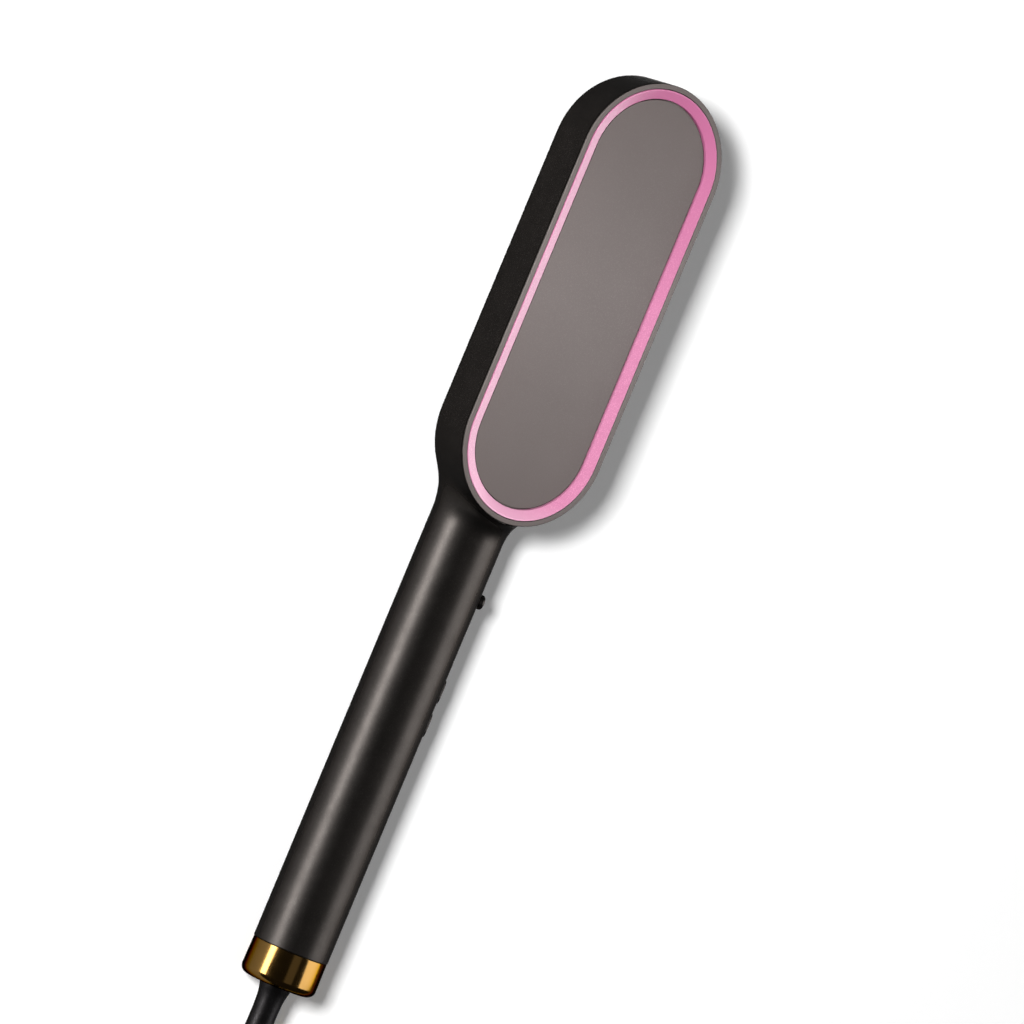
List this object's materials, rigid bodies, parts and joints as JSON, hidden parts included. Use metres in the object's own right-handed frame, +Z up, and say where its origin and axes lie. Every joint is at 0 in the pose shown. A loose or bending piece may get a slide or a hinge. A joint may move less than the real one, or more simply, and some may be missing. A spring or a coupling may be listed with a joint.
{
  "type": "hair straightening brush",
  "caption": "Corded hair straightening brush with a flat oval head, a heated comb behind a guard comb, side buttons and a swivelling cord.",
  "frame": {"origin": "on the surface it lies on, under the middle of the brush between the strain relief tip and the head top", "axes": "+X along the brush towards the top of the head, +Z up through the plain back of the head, teeth pointing down, +Y to the side without buttons"},
  "size_m": [0.5346, 0.0645, 0.0311],
  "materials": {
    "soft_black": "soft-touch matte black-brown plastic",
    "pink_trim": "satin metallic pink ring",
    "grey_panel": "fine matte warm grey",
    "comb_plastic": "matte black heat-proof plastic",
    "coated_metal": "ceramic-coated die-cast metal",
    "ceramic": "fired ceramic",
    "amber_film": "amber film",
    "steel": "bright steel",
    "white_plastic": "natural nylon",
    "red_wire": "silicone sleeve",
    "blue_wire": "silicone sleeve",
    "board_green": "laminate",
    "component_black": "moulded black",
    "smoked_window": "gloss smoked window",
    "gold": "polished gold plating",
    "cord_rubber": "satin black sheath",
    "brass": "plain brass"
  },
  "bodies": {
    "brush": {"main_housing": "soft_black", "handle_cover": "soft_black", "trim_ring": "pink_trim", "back_panel": "grey_panel", "guard_comb": "comb_plastic", "heating_comb": "coated_metal", "heater_front": "ceramic", "heater_rear": "ceramic", "thermistor": "ceramic", "board_fuse": "ceramic", "heater_film": "amber_film", "film_capacitor": "amber_film", "pressure_plate": "steel", "comb_screw_1": "steel", "comb_screw_2": "steel", "comb_screw_3": "steel", "comb_screw_4": "steel", "thermal_fuse": "white_plastic", "display_module": "white_plastic", "swivel_socket": "white_plastic", "swivel_cover": "white_plastic", "heater_lead_live": "red_wire", "supply_lead_live": "red_wire", "heater_lead_neutral": "blue_wire", "supply_lead_neutral": "blue_wire", "circuit_board": "board_green", "power_switch": "component_black", "plus_switch": "component_black", "minus_switch": "component_black", "triac": "component_black", "control_chip": "component_black", "display_window": "smoked_window", "end_cap": "gold", "cord": "cord_rubber", "cord_hank": "cord_rubber", "cord_tail": "cord_rubber", "hank_tie": "cord_rubber", "plug_body": "cord_rubber", "contact_spring_live": "brass", "contact_spring_neutral": "brass", "plug_pin_1": "brass", "plug_pin_2": "brass"},
    "swivel": {"strain_relief": "cord_rubber", "slip_ring_live": "brass", "slip_ring_neutral": "brass"},
    "power_button": {"power_button": "soft_black"},
    "plus_button": {"plus_button": "soft_black"},
    "minus_button": {"minus_button": "soft_black"}
  },
  "joints": [
    {"name": "swivel_turn", "type": "hinge", "parent": "brush", "child": "swivel", "pos_m": [-0.131, 0, 0.0122], "axis": [1, 0, 0], "continuous": true},
    {"name": "power_press", "type": "slide", "parent": "brush", "child": "power_button", "axis": [0, 0.9659, -0.2588], "range_m": [0, 0.0005], "stiffness_N_per_m": 3000},
    {"name": "plus_press", "type": "slide", "parent": "brush", "child": "plus_button", "axis": [0, 0.9659, -0.2588], "range_m": [0, 0.0005], "stiffness_N_per_m": 3000},
    {"name": "minus_press", "type": "slide", "parent": "brush", "child": "minus_button", "axis": [0, 0.9659, -0.2588], "range_m": [0, 0.0005], "stiffness_N_per_m": 3000}
  ]
}
